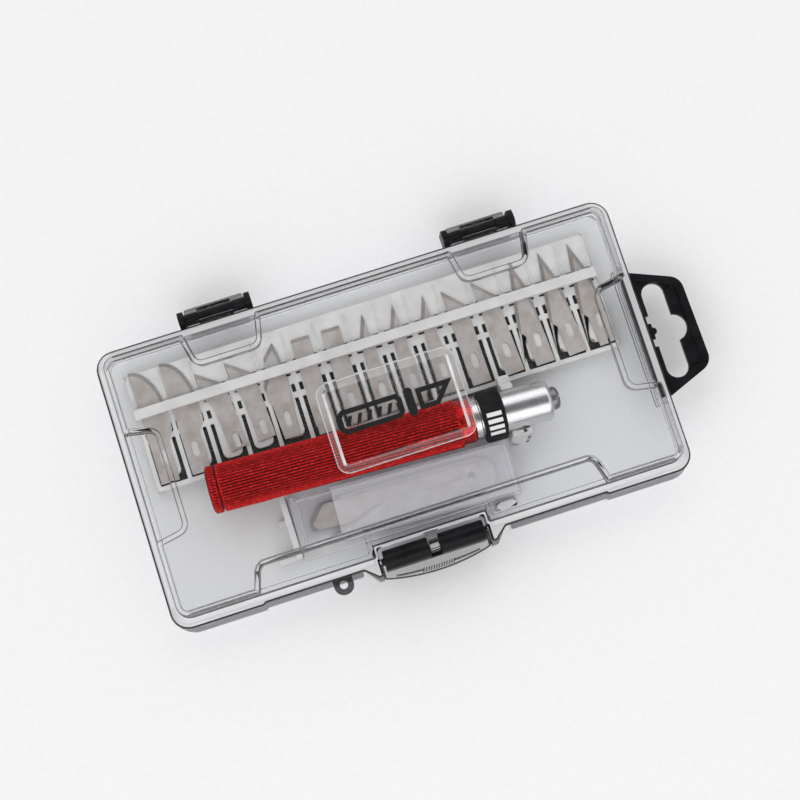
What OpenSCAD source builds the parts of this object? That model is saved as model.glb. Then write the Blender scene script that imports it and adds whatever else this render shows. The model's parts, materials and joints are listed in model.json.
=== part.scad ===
// Craft knife kit: a clear hinged case that holds a knife, fifteen blades in a rack
// and a sliding box of long spare blades. The origin is at the middle of the case on
// the table, +X points to the hang tab, +Y to the hinges and +Z up.

/* [Case] */
// Length of the lid rim along X
case_len = 172; // [168:1:180]
// Width of the lid rim along Y
case_wid = 91.2; // [90:0.1:94]
// Height of the base, which is where the lid starts
base_h = 12; // [11.5:0.1:12.5]
// Height of the closed case without the raised pad
case_h = 22; // [21.5:0.1:25]
// Thickness of the clear walls
wall = 1.5; // [1.2:0.1:1.6]
// Corner radius of the rim
corner_r = 6; // [4:0.5:8]
// Height of the lid recess floors
recess_z = 17; // [16.6:0.1:18]

/* [Hinges] */
// Distance of each hinge from the middle of the case
hinge_x = 44.4; // [40:0.1:50]
// Radius of the hinge bar
hinge_bar_r = 1.3; // [1.1:0.1:1.5]
// Running clearance on a radius
run_gap = 0.08; // [0.05:0.01:0.1]

/* [Latch] */
// Width of the latch
latch_w = 33; // [28:0.5:34]
// Radius of the latch barrels
latch_r = 3.3; // [3:0.1:3.4]

/* [Knife] */
// Radius of the handle
handle_r = 7.7; // [7.3:0.05:7.75]
// Height of the knife axis
knife_z = 11.2; // [11:0.1:11.4]
// Angle of the knife seen from above
knife_turn = -2.59; // [-3:0.01:-2]
// Width of the slot through the collet
collet_slot = 0.7; // [0.5:0.1:1]

/* [Blades] */
// Thickness of every blade
blade_t = 0.5; // [0.4:0.05:0.6]
// Distance between neighbouring pockets
pitch = 10.36; // [10.3:0.01:10.4]

/* [Blade box] */
// Length of the blade box
box_len = 72; // [68:1:74]
// Width of the blade box
box_wid = 17.5; // [17:0.1:18]
// Angle of the blade box seen from above
box_turn = -2.5; // [-3:0.1:-2]

/* [Hidden] */
$fn = 64;
eps = 0.01;

clear_tint = [0.86, 0.88, 0.9, 0.45];
black_plastic = [0.06, 0.06, 0.07];
white_plastic = [0.93, 0.93, 0.92];
red_anodised = [0.62, 0.06, 0.07];
blade_steel = [0.66, 0.63, 0.6];

// Case
ledge_z = base_h + 2.5;          // top of the lid rim
pad_h = 0.8;                     // height of the raised pad
ledge_w = 3;                     // width of the lid rim ledge
corner_from = 56.5;              // where the thicker corners of the front begin
rim_drop = 0.5;                  // the lid rim stands this far outside the base
base_l = case_len - 2 * rim_drop;
base_w = case_wid - 2 * rim_drop;
floor_t = 1.6;
tongue_t = 0.8;                  // locating lip on top of the base
tongue_h = 1;
top_l = case_len - 2 * ledge_w;
top_w = case_wid - 2 * ledge_w;
back_y = case_wid / 2;
front_y = -case_wid / 2;

// Hinges
hinge_y = back_y + 2.9;
clip_w = 24.2;
plate_t = 2;
disc_r = 2.8;
shoulder_w = 4.3;
pin_z = 6.2;
pin_r = 1.2;

// Latch
latch_x = -0.7;
pivot = [latch_x, -44.5, base_h + 1.6];
trunnion_r = 1;
notch_w = latch_w + 2.8;
notch_wall = 1.6;
notch_y = -39.8;
barrel_gap = 3.6;
arm_t = 1.6;
arm_bottom = 5.2;

// Seal loops
loop_at = [-31.5, -47.6];
loop_r = 3.2;
loop_hole_r = 1.3;

// Hang tab
tab_z = 8.2;
tab_t = 3;
tab_web_t = 2.2;

// Rack
rack_z = 3.4;                    // underside of the rack plate
rack_top = 5;
first_x = -73.1;                 // middle of the first pocket
pockets = 15;
bar_y = [22.9, 26.2];
bar_z = [rack_top + blade_t + 0.2, 7.5];
blade_z = rack_top + 0.05;
blade_bottom = 0.8;
rack_x = [-79, 77];
rack_y = [-1.2, 38];

// Knife
knife_start = [-63, -6.3, knife_z];
cap_len = 3;
body_start = 3.4;
body_end = 82;
neck_end = 86.3;
band_start = 89.1;
band_end = 96.4;
nose_end = 112.2;
tip_end = 115;
neck_r = 7.1;
nose_r = 6.6;
band_r = 8.5;
groove_r = 6;
spigot_r = 4.5;
shank_r = 2.5;
collet_r = 3.3;

// Blade box
box_mid = [-4.5, -26.6];
box_z = 2.75;
box_h = 9.4;
box_wall = 0.8;
cover_start = -22.5;

// ---- shared shapes ----

// Flat rounded rectangle about the origin
module rounded(l, w, r) {
    square([l - 2 * r, w], center = true);
    square([l, w - 2 * r], center = true);
    for (sx = [-1, 1], sy = [-1, 1])
        translate([sx * (l / 2 - r), sy * (w / 2 - r)]) circle(r);
}

// Rounded slab from z0 to z1
module slab(l, w, r, z0, z1) {
    translate([0, 0, z0]) linear_extrude(z1 - z0) rounded(l, w, r);
}

// Box given by two opposite corners
module block(low, high) {
    translate(low) cube(high - low);
}

// Rod along X between x0 and x1
module rod_x(x0, x1, r, y, z) {
    translate([x0, y, z]) rotate([0, 90, 0]) cylinder(r = r, h = x1 - x0);
}

// Points along an arc from angle a0 to a1
function arc(x, y, r, a0, a1) =
    [for (i = [0:10]) [x + r * cos(a0 + (a1 - a0) * i / 10), y + r * sin(a0 + (a1 - a0) * i / 10)]];

// Frame of the knife: +X runs from the end cap to the collet
module on_knife() {
    translate(knife_start) rotate([0, 0, knife_turn]) children();
}

// Body turned about the knife axis from points of [distance along, radius]
module turned(points) {
    on_knife() rotate([90, 0, 90]) rotate_extrude() polygon([for (p = points) [p[1], p[0]]]);
}

// Frame of the blade box
module on_box() {
    translate([box_mid[0], box_mid[1], 0]) rotate([0, 0, box_turn]) children();
}

// ---- lid recesses, in plan ----

// Recess that narrows from half width w1 at the edge to w0 inside; g grows it
module recess(w0, w1, depth, g = 0) {
    r = 2.5 + g;
    y = depth + g - r;
    lean = w1 - w0;
    x = w1 + g - (lean * y + r * norm([lean, depth])) / depth;
    turn = atan2(lean, depth);
    polygon(concat([[-w1 - g, 0], [-w1 - g, -10], [w1 + g, -10], [w1 + g, 0]], arc(x, y, r, turn, 90),
        arc(-x, y, r, 90, 180 - turn)));
}

module recesses(g = 0) {
    for (sx = [-1, 1]) {
        translate([sx * hinge_x, top_w / 2]) rotate(180) recess(9.8, 11.8, 9.6, g);
        translate([sx * top_l / 2, 0]) rotate(90 * sx) recess(15.8, 17.6, 9.5, g);
    }
    translate([0, -top_w / 2]) recess(54.5, 57, 8.3, g);
}

// Plan of the latch notch, grown by g
module notch(g = 0) {
    translate([latch_x - notch_w / 2 - g, front_y - 10])
        square([notch_w + 2 * g, notch_y + g - front_y + 10]);
}

// Ears beside the latch, in plan, reaching out to y = tip
module ears(tip) {
    for (s = [-1, 1]) translate([latch_x, 0]) scale([s, 1]) polygon([
        [notch_w / 2, tip], [notch_w / 2 + notch_wall, tip], [notch_w / 2 + 5.6, front_y + 0.4],
        [notch_w / 2 + 5.6, front_y + 2], [notch_w / 2, front_y + 2]]);
}

// ---- case ----

module case_base() {
    color(clear_tint) difference() {
        union() {
            difference() {
                union() {
                    slab(base_l - 1, base_w - 1, corner_r - 1, 0, 0.6);
                    slab(base_l, base_w, corner_r - 0.5, 0.6, base_h);
                    base_tongue();
                }
                slab(base_l - 2 * wall, base_w - 2 * wall, corner_r - 2, floor_t, base_h + 5);
            }
            // wall round the latch pocket
            block([latch_x - notch_w / 2 - notch_wall, -base_w / 2 + wall / 2, floor_t - eps],
                [latch_x + notch_w / 2 + notch_wall, notch_y + 1.4, base_h]);
            // socket of the hang tab
            block([81.2, -24, 6.5], [base_l / 2 - wall / 2, 22, base_h]);
            base_front();
            // thicker front wall on both sides of the latch, thicker still at the corners
            for (s = [-1, 1]) {
                front_step(s, 26, base_l / 2 - 7, front_y - 1.4, 0.3, 9.3);
                front_step(s, corner_from, base_l / 2 - 6, front_y - 2, 0.3, 9.3);
            }
            for (s = [-1, 1]) translate([s * hinge_x, 0, 0]) base_hinge_boss();
        }
        block([latch_x - notch_w / 2, -60, 9.8], [latch_x + notch_w / 2, notch_y, base_h + 5]);
        block([82.8, -22.3, tab_z - 0.05], [90, 20.3, tab_z + tab_t + 0.05]);
        translate([loop_at[0], loop_at[1], base_h - 2.6]) cylinder(r = loop_hole_r, h = 5);
        for (s = [-1, 1]) translate([s * hinge_x, 0, 0]) {
            rod_x(-12, 12, pin_r + run_gap, hinge_y, pin_z);
            block([-12, hinge_y - 1, 0], [12, hinge_y + 1, pin_z]);
        }
    }
}

// Step of the front on side s, between two distances from the middle, out to y
module front_step(s, from, to, y, z0, z1) {
    x = [s * from, s * to];
    block([min(x), y, z0], [max(x), front_y + 1, z1]);
}

module base_tongue() {
    difference() {
        slab(base_l - 2 * wall + 2 * tongue_t, base_w - 2 * wall + 2 * tongue_t, corner_r - 1.2,
            base_h - eps, base_h + tongue_h);
        block([latch_x - notch_w / 2 - 6, -60, base_h], [latch_x + notch_w / 2 + 6, -38, base_h + 5]);
    }
}

// Bowed lip, guards, catch bead and seal loop at the front
module base_front() {
    bow_r = 69;
    translate([0, 0, 2.6]) linear_extrude(2.4) intersection() {
        translate([latch_x, bow_r - 52.1]) circle(bow_r, $fn = 256);
        translate([latch_x - notch_w / 2 - eps, -60]) square([notch_w + 2 * eps, 60 - base_w / 2 + 0.5]);
    }
    translate([0, 0, 2.6]) linear_extrude(base_h - 2.8) ears(-50.2);
    block([latch_x - 8, -base_w / 2 - 0.4, 7], [latch_x + 8, -base_w / 2 + 0.5, 7.8]);
    seal_loop(base_h - 2, base_h - 0.05, -base_w / 2 + 0.5);
}

// Ring joined to the wall at y = inner
module seal_loop(z0, z1, inner) {
    translate([loop_at[0], loop_at[1], z0]) cylinder(r = loop_r, h = z1 - z0);
    block([loop_at[0] - loop_r, loop_at[1], z0], [loop_at[0] + loop_r, inner, z1]);
}

module base_hinge_boss() {
    half = clip_w / 2 - plate_t - 0.15;
    block([-half, base_w / 2 - 0.5, 3.6], [half, hinge_y + 3.9, 8.4]);
}

module case_lid() {
    color(clear_tint) difference() {
        union() {
            difference() {
                union() {
                    slab(case_len, case_wid, corner_r, base_h, ledge_z);
                    for (s = [-1, 1])
                        front_step(s, corner_from, base_l / 2 - 6, front_y - 0.6, base_h, ledge_z);
                    slab(top_l, top_w, corner_r - 2, ledge_z - eps, recess_z);
                    translate([0, 0, recess_z - eps]) linear_extrude(case_h - recess_z + eps)
                        difference() {
                            rounded(top_l, top_w, corner_r - 2);
                            recesses();
                        }
                }
                lid_hollow();
            }
            translate([0.5, -1, 0]) slab(45, 29, 3.5, case_h - wall, case_h + pad_h);
            translate([0, 0, base_h]) linear_extrude(recess_z - base_h) intersection() {
                notch(notch_wall);
                translate([-40, front_y + 1]) square([80, 20]);
            }
            translate([0, 0, base_h]) linear_extrude(3.5) ears(-49);
            for (s = [-1, 1]) translate([s * hinge_x, 0, 0]) lid_hook();
            seal_loop(base_h + 0.05, base_h + 1.8, front_y + 0.5);
        }
        difference() {
            translate([0, 0, base_h - 1]) linear_extrude(case_h) notch();
            lid_lug();
        }
        rod_x(latch_x - notch_w / 2 - 1.2, latch_x + notch_w / 2 + 1.2, trunnion_r + run_gap, pivot[1],
            pivot[2]);
        translate([loop_at[0], loop_at[1], 0]) cylinder(r = loop_hole_r, h = case_h);
        for (s = [-1, 1])
            rod_x(s * hinge_x - 8, s * hinge_x + 8, hinge_bar_r + run_gap, hinge_y, base_h);
    }
}

module lid_hollow() {
    gap = 0.15;
    slab(base_l - 2 * wall + 2 * tongue_t + 2 * gap, base_w - 2 * wall + 2 * tongue_t + 2 * gap,
        corner_r - 1, base_h - 1, base_h + tongue_h + 0.1);
    slab(top_l - 2 * wall, top_w - 2 * wall, corner_r - 3, base_h, recess_z - wall);
    translate([0, 0, base_h]) linear_extrude(case_h - wall - base_h) difference() {
        rounded(top_l - 2 * wall, top_w - 2 * wall, corner_r - 3);
        recesses(wall);
    }
}

// Hook that wraps the middle of a hinge bar
module lid_hook() {
    half = clip_w / 2 - plate_t - shoulder_w - 0.2;
    rod_x(-half, half, 2.5, hinge_y, base_h);
    block([-half, back_y - 0.6, base_h + 0.3], [half, hinge_y, base_h + 2.5]);
}

// Lug that carries the latch axle in the gap between the barrels
module lid_lug() {
    half = barrel_gap / 2 - 0.3;
    rod_x(latch_x - half, latch_x + half, 2, pivot[1], pivot[2]);
    block([latch_x - half, pivot[1], pivot[2] + 0.4], [latch_x + half, notch_y + 1, pivot[2] + 2]);
}

module hinge_clip(side) {
    half = clip_w / 2;
    color(black_plastic) translate([side * hinge_x, 0, 0]) {
        for (s = [-1, 1]) translate([s * (half - plate_t / 2), 0, 0]) {
            rod_x(-plate_t / 2, plate_t / 2, disc_r, hinge_y, base_h);
            block([-plate_t / 2, hinge_y - disc_r, 4.6], [plate_t / 2, hinge_y + disc_r, base_h]);
        }
        rod_x(-half + 1, half - 1, hinge_bar_r, hinge_y, base_h);
        rod_x(-half + 1, -half + plate_t + shoulder_w, 1.6, hinge_y, base_h);
        rod_x(half - plate_t - shoulder_w, half - 1, 1.6, hinge_y, base_h);
        rod_x(-half + 1, half - 1, pin_r, hinge_y, pin_z);
    }
}

module hinge_clip_left() { hinge_clip(-1); }
module hinge_clip_right() { hinge_clip(1); }

module latch() {
    x0 = latch_x - latch_w / 2;
    x1 = latch_x + latch_w / 2;
    front = pivot[1] - latch_r;
    color(black_plastic) {
        rod_x(x0, latch_x - barrel_gap / 2, latch_r, pivot[1], pivot[2]);
        rod_x(latch_x + barrel_gap / 2, x1, latch_r, pivot[1], pivot[2]);
        rod_x(x0 - 1, x1 + 1, trunnion_r, pivot[1], pivot[2]);
        block([x0, front, arm_bottom], [x1, front + arm_t, pivot[2] - 1.6]);
        block([x0, front, pivot[2] - 1.7], [latch_x - barrel_gap / 2, front + arm_t, pivot[2]]);
        block([latch_x + barrel_gap / 2, front, pivot[2] - 1.7], [x1, front + arm_t, pivot[2]]);
        block([latch_x - 7.5, front + arm_t - 0.2, 5.9], [latch_x + 7.5, -base_w / 2 - 0.45, 6.9]);
    }
}

// Plan of the hang tab, a trapezoid with rounded outer corners
module tab_outline(inset = 0) {
    polygon(concat([[83, 20.2 - inset], [86, 20.2 - inset]], arc(96.9, 10.3, 5 - inset, 67, 2),
        arc(97.5, -12.6, 4.9 - inset, 2, -68), [[87, -22 + inset], [83, -22 + inset]]));
}

module hang_tab() {
    color(black_plastic) difference() {
        translate([0, 0, tab_z]) linear_extrude(tab_t) tab_outline();
        // raised rim round a thinner web
        translate([0, 0, tab_z + tab_web_t]) linear_extrude(tab_t) intersection() {
            tab_outline(2.6);
            translate([87.6, -30]) square([20, 60]);
        }
        translate([0, 0, tab_z - 1]) linear_extrude(tab_t + 2) difference() {
            union() {
                translate([91.8, -1.2]) rounded(7.4, 32, 3.68);
                translate([94.8, -1.2]) circle(4.4);
                translate([86.9, 2.2]) square([2, 2.6]);
                translate([86.9, -5.6]) square([2, 2.6]);
            }
            translate([88, -0.4]) circle(1.2);
        }
    }
}

// ---- blade rack ----

function pocket_x(i) = first_x + i * pitch;

module blade_rack() {
    bridge_y = [14.7, 16.4];
    slot_w = 1.25;
    divider_w = 1.4;
    tongue_w = pitch - divider_w - 2 * slot_w;
    color(white_plastic) {
        translate([0, 0, rack_z]) linear_extrude(rack_top - rack_z) difference() {
            translate([(rack_x[0] + rack_x[1]) / 2, (rack_y[0] + rack_y[1]) / 2])
                rounded(rack_x[1] - rack_x[0], rack_y[1] - rack_y[0], 2);
            for (i = [0:pockets - 1]) translate([pocket_x(i), 0]) {
                // U-shaped slot round a springy tongue
                difference() {
                    translate([-tongue_w / 2 - slot_w, 0.3])
                        square([tongue_w + 2 * slot_w, bridge_y[0] - 0.3]);
                    translate([0, 10]) rounded(tongue_w, 15, 2);
                    translate([-tongue_w / 2, 8]) square([tongue_w, 10]);
                }
                for (s = [-1, 1]) {
                    translate([s * (tongue_w + slot_w) / 2 - slot_w / 2, bridge_y[1]])
                        square([slot_w, 3]);
                    translate([s * 3.2 - 1, bar_y[0] - 0.7]) square([2, 0.7]);
                    translate([s * 3.2 - 1, bar_y[1]]) square([2, 0.7]);
                }
            }
        }
        // skirt the rack stands on
        difference() {
            block([rack_x[0], rack_y[0], floor_t + 0.05], [rack_x[1], rack_y[1], rack_z + 0.2]);
            block([rack_x[0] + 1.2, rack_y[0] + 1.2, 0], [rack_x[1] - 1.2, rack_y[1] - 1.2, 8]);
        }
        // retaining bar on posts between the blades
        block([rack_x[0], bar_y[0], bar_z[0]], [rack_x[1], bar_y[1], bar_z[1]]);
        for (i = [0:pockets]) translate([pocket_x(i) - pitch / 2, 0, 0])
            block([-0.45, bar_y[0], rack_top - eps], [0.45, bar_y[1], bar_z[0] + eps]);
        // low ridges between the blade tips
        for (i = [1:pockets - 1]) translate([pocket_x(i) - pitch / 2, 0, rack_top - eps])
            linear_extrude(0.5) polygon([[-0.35, bar_y[1] + 1], [0.35, bar_y[1] + 1], [0.2, 36.5],
                [-0.2, 36.5]]);
    }
}

module magnet_strip() {
    color(black_plastic) block([rack_x[0] + 1.5, rack_y[0] + 1.5, floor_t + 0.1],
        [rack_x[1] - 1.5, 28, rack_z - 0.05]);
}

// ---- blades in the rack ----

// Blade of a given outline in pocket i, moved by dx and turned about its middle
module rack_blade(i, dx, turn, slot_x, slot_y = 8) {
    color(blade_steel) translate([pocket_x(i) + dx, 18, blade_z]) rotate([0, 0, turn])
        translate([0, blade_bottom - 18, 0]) linear_extrude(blade_t) difference() {
            children();
            translate([slot_x, slot_y]) rounded(2.3, 5.2, 1.14);
        }
}

// Large carving blade: straight back, elliptical belly
module curved_outline() {
    belly = [for (a = [0:6:90]) [-4.3 + 8.6 * cos(a), 23 + 14.8 * sin(a)]];
    polygon(concat([[-4.1, 0], [2, 0], [2, 13], [4, 15.6], [4.3, 17]], belly));
}

// Small blade with a slanting edge and a narrow tang
module angled_outline() {
    polygon([[-2.3, 0], [3.4, 0], [3.8, 18], [3.8, 21.4], [-3.8, 28], [-3.8, 18.4], [-2.8, 17.4],
        [-2.3, 15.6]]);
}

// Deburring blade with a short offset point
module deburring_outline() {
    polygon([[-3.9, 0], [1.2, 0], [2.9, 19], [2.5, 27], [1.7, 31.3], [-2.4, 27.2], [-2.9, 21.6],
        [-5.2, 18.4], [-5.2, 14], [-4.4, 11.4]]);
}

module chisel_outline() {
    polygon([[-3.05, 0], [3.05, 0], [3.05, 32.2], [-3.05, 32.2]]);
}

// Fine point, the point close to the back
module fine_outline() {
    polygon([[-2.9, 0], [2.5, 0], [2.5, 14.4], [2, 16], [1.5, 26], [0.9, 33.6], [-2, 25.8],
        [-2.5, 16], [-2.9, 14.4]]);
}

// Stencil blade: one long slanting edge across the full width
module stencil_outline() {
    polygon([[-3.1, 0], [3.1, 0], [3.1, 26.1], [-3.3, 32.9]]);
}

// Long fine point with a wide heel
module long_outline() {
    polygon([[-2.4, 0], [3.8, 0], [3.4, 22], [3, 25.8], [0.4, 35.6], [-3.6, 17], [-4.2, 12.6],
        [-2.5, 10.2]]);
}

module blade_01_curved() { rack_blade(0, 0, 0, -0.9) curved_outline(); }
module blade_02_curved() { rack_blade(1, 0, 0, -0.9) curved_outline(); }
module blade_03_angled() { rack_blade(2, 0.6, 6, 0.6, 6.6) translate([0, 3.6]) angled_outline(); }
module blade_04_angled() { rack_blade(3, 0, 4, 0.6, 8.2) translate([0, 4]) angled_outline(); }
module blade_05_deburring() { rack_blade(4, 0, 1, -1, 8.4) translate([0, 2]) deburring_outline(); }
module blade_06_chisel() { rack_blade(5, 0.1, 0, 0) chisel_outline(); }
module blade_07_chisel() { rack_blade(6, 0, 0, 0) chisel_outline(); }
module blade_08_fine() { rack_blade(7, 0, 0, 0) fine_outline(); }
module blade_09_fine() { rack_blade(8, 0, 0, 0) fine_outline(); }
module blade_10_fine() { rack_blade(9, 0, 0, 0) fine_outline(); }
module blade_11_stencil() { rack_blade(10, 0, 0.6, 0) stencil_outline(); }
module blade_12_stencil() { rack_blade(11, 0.3, 2.6, 0) stencil_outline(); }
module blade_13_long() { rack_blade(12, 0, 1.4, 0.8) long_outline(); }
module blade_14_long() { rack_blade(13, 0.2, 3.2, 0.8) long_outline(); }
module blade_15_long() { rack_blade(14, 0.2, 4.2, 0.8) long_outline(); }

// ---- knife ----

module handle_body() {
    color(red_anodised) turned([[body_start, 4.5], [body_start, handle_r - 0.3],
        [body_start + 0.3, handle_r], [body_end - 0.5, handle_r], [body_end, handle_r - 0.5],
        [body_end, neck_r], [neck_end - 0.4, neck_r], [neck_end, neck_r - 0.4], [neck_end, spigot_r],
        [94, spigot_r], [94, shank_r + run_gap], [64, shank_r + run_gap], [62, 4.5]]);
}

module end_cap() {
    color(red_anodised) turned([[0, 0], [0, handle_r - 0.8], [0.8, handle_r],
        [cap_len - 0.3, handle_r], [cap_len, handle_r - 0.3], [cap_len, 6.6],
        [body_start - 0.05, 6.6], [body_start - 0.05, 4.5 - run_gap], [11, 4.5 - run_gap], [12, 3.4],
        [12, 0]]);
}

module chuck_nose() {
    round_r = 1.6;
    mouth = collet_r + run_gap;
    rounding = [for (a = [0:15:90])
        [nose_end - round_r + round_r * sin(a), nose_r - round_r + round_r * cos(a)]];
    color("silver") turned(concat([[neck_end + 0.05, spigot_r + run_gap],
        [neck_end + 0.05, 6.5], [neck_end + 0.4, 6.85], [band_start - 0.6, 6.85],
        [band_start - 0.3, 6.5], [band_start, 6.5], [band_start, groove_r], [band_end, groove_r],
        [band_end, nose_r - 0.2], [band_end + 0.2, nose_r]], rounding,
        [[nose_end, mouth + 0.55], [105, mouth], [95, mouth], [95, spigot_r + run_gap]]));
}

module anti_roll_band() {
    color(black_plastic) turned([[band_start + 0.05, groove_r + 0.02],
        [band_start + 0.05, band_r - 0.6], [band_start + 0.7, band_r], [band_end - 0.7, band_r],
        [band_end - 0.05, band_r - 0.6], [band_end - 0.05, groove_r + 0.02]]);
}

module collet() {
    color([0.55, 0.55, 0.56]) difference() {
        turned([[80, 0], [80, shank_r], [97.4, shank_r], [97.8, collet_r], [105, collet_r],
            [nose_end, collet_r + 0.55], [114, collet_r + 0.55], [tip_end, 3.2], [tip_end, 0]]);
        on_knife() block([99, -collet_slot / 2, -9], [120, collet_slot / 2, 9]);
    }
}

// ---- cradle ----

module cradle() {
    plate_z = floor_t + 0.05;
    finger_start = band_end + 1.1;
    finger_d = [5.2, 8.4];           // inner and outer side of a finger from the knife axis
    color(white_plastic) difference() {
        union() {
            block([-41, -36.2, plate_z], [32.2, -1.6, 2.6]);
            block([32, -17, plate_z], [40, -1.6, 2.6]);
            // saddle under the handle and wall beside the blade box
            block([-43.2, -35.2, plate_z], [-41.2, -14.8, 8]);
            block([-43.2, -15, plate_z], [-40.4, -1.6, 8]);
            // foot of the wall
            block([-49, -35.2, plate_z], [-41.2, -33.4, 4.4]);
            block([-45.4, -23.6, plate_z], [-43.1, -21.8, 3.6]);
            // fingers that hold the nose, one of them over the edge of the rack
            on_knife() {
                block([finger_start, finger_d[0], plate_z - knife_z], [101.4, finger_d[1], 2]);
                block([finger_start, finger_d[1] - eps, rack_top + 0.8 - knife_z], [101.4, 11.4, -0.6]);
                block([finger_start, -finger_d[1], plate_z - knife_z], [104, -finger_d[0], 0]);
                translate([finger_start + 3.25, -7.4, plate_z - knife_z]) linear_extrude(0.95)
                    rounded(6.5, 6.6, 2);
            }
            // stop beside the end of the box
            translate([25.6, -39, plate_z]) linear_extrude(6) rounded(7, 2.8, 1.39);
            block([20, -38.4, plate_z], [29, -35.4, 2.6]);
        }
        on_knife() {
            rotate([0, 90, 0]) cylinder(r = handle_r + 0.1, h = band_start - 1);
            translate([band_start - 2, 0, 0]) rotate([0, 90, 0])
                cylinder(r = band_r + 0.25, h = band_end - band_start + 3);
            translate([band_end - 1, 0, 0]) rotate([0, 90, 0]) cylinder(r = nose_r + 0.1, h = 20);
            translate([101.9, -7.5, -3]) cylinder(r = 0.6, h = 5);
        }
    }
}

// ---- blade box ----

module box_tray() {
    len = box_len - 1;
    wid = box_wid - 2 * box_wall - 0.3;
    z0 = box_z + box_wall + 0.15;
    z1 = box_z + box_h - box_wall - 0.3;
    color([0.93, 0.93, 0.94, 0.6]) on_box() difference() {
        union() {
            translate([-0.5, 0, 0]) slab(len, wid, 1.5, z0, z1);
            translate([-box_len / 2 + 0.8, 0, 0]) block([-0.8, -box_wid / 2, box_z],
                [0.8, box_wid / 2, z1]);
        }
        translate([0.4, 0, 0]) slab(len - 3.4, wid - 2 * box_wall, 0.8, z0 + box_wall, z1 + 5);
    }
}

module box_cover() {
    end = box_len / 2;
    color([0.93, 0.93, 0.94, 0.5]) on_box() difference() {
        block([cover_start, -box_wid / 2, box_z], [end, box_wid / 2, box_z + box_h]);
        block([cover_start - 1, -box_wid / 2 + box_wall, box_z + box_wall],
            [end - box_wall, box_wid / 2 - box_wall, box_z + box_h - box_wall]);
    }
}

// Long spare blade in the tray, on level n
module spare(n, dx, dy, turn, holes) {
    color(blade_steel) on_box()
        translate([dx, dy, box_z + 2 * box_wall + 0.2 + n * (blade_t + 0.1)]) rotate([0, 0, turn])
            linear_extrude(blade_t) difference() {
                children();
                for (x = holes) translate([x, 0]) circle(1.6);
            }
}

module spare_blade_hooked() {
    spare(0, -1, 1.2, 0.5, [14, 23]) polygon([[-21, 4.8], [-17, 0.6], [-14.6, -1.8], [-17, -5.4],
        [27, -5.4], [29, -4], [29, 4], [27, 5], [-12, 5]]);
}

module spare_blade_plain() {
    spare(1, 0.5, 1, -0.6, [17, 22.1]) polygon([[-32, -1.7], [-27.8, 3.4], [28, 4.2], [29.5, 2.8],
        [29.5, -3], [28, -4.4], [-31, -4.4], [-32, -3.4]]);
}

module spare_blade_pointed() {
    spare(2, -3.9, -3, 1, [20.6, 24.5]) polygon([[-24, -3.1], [26, -3.1], [27.4, -1.8], [27.4, 1.8],
        [26, 3.1], [-6, 3.1]]);
}

case_base();
case_lid();
hinge_clip_left();
hinge_clip_right();
latch();
hang_tab();
blade_rack();
magnet_strip();
cradle();
handle_body();
end_cap();
chuck_nose();
anti_roll_band();
collet();
box_tray();
box_cover();
spare_blade_hooked();
spare_blade_plain();
spare_blade_pointed();
blade_01_curved();
blade_02_curved();
blade_03_angled();
blade_04_angled();
blade_05_deburring();
blade_06_chisel();
blade_07_chisel();
blade_08_fine();
blade_09_fine();
blade_10_fine();
blade_11_stencil();
blade_12_stencil();
blade_13_long();
blade_14_long();
blade_15_long();
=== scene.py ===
"""Looks of a craft knife kit: clear hinged case, knife, blade rack and spare blade box.

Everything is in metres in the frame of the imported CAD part: +X to the hang tab,
+Y to the hinges, +Z up, origin under the middle of the case.
"""
import json
from math import atan2, cos, pi, radians, sin, sqrt, tan

import bmesh
import bpy
from mathutils import Matrix, Vector
from mathutils.geometry import tessellate_polygon


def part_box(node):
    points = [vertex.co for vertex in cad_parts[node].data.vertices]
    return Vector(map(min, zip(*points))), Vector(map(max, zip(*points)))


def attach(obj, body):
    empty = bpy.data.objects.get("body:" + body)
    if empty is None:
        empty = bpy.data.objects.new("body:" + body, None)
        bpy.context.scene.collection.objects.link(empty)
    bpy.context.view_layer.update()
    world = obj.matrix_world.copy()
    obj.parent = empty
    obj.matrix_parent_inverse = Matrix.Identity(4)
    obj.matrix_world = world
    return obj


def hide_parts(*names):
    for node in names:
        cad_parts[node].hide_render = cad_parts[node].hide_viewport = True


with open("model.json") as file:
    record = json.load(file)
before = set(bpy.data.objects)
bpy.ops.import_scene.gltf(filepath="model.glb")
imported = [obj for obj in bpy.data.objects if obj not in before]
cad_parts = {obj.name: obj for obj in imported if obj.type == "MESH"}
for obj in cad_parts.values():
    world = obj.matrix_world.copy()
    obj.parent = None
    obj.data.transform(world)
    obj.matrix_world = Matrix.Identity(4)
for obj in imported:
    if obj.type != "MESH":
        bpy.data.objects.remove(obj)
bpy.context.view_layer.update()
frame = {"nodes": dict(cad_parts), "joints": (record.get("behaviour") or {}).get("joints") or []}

MM = 0.001
NODES = frame["nodes"]
JOINTS = {j["name"]: j for j in frame["joints"]}


# ------------------------------------ shader helpers

def srgb(r, g, b):
    """Linear colour of a display colour."""
    def lin(c):
        return c / 12.92 if c <= 0.04045 else ((c + 0.055) / 1.055) ** 2.4
    return (lin(r), lin(g), lin(b), 1)


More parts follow.
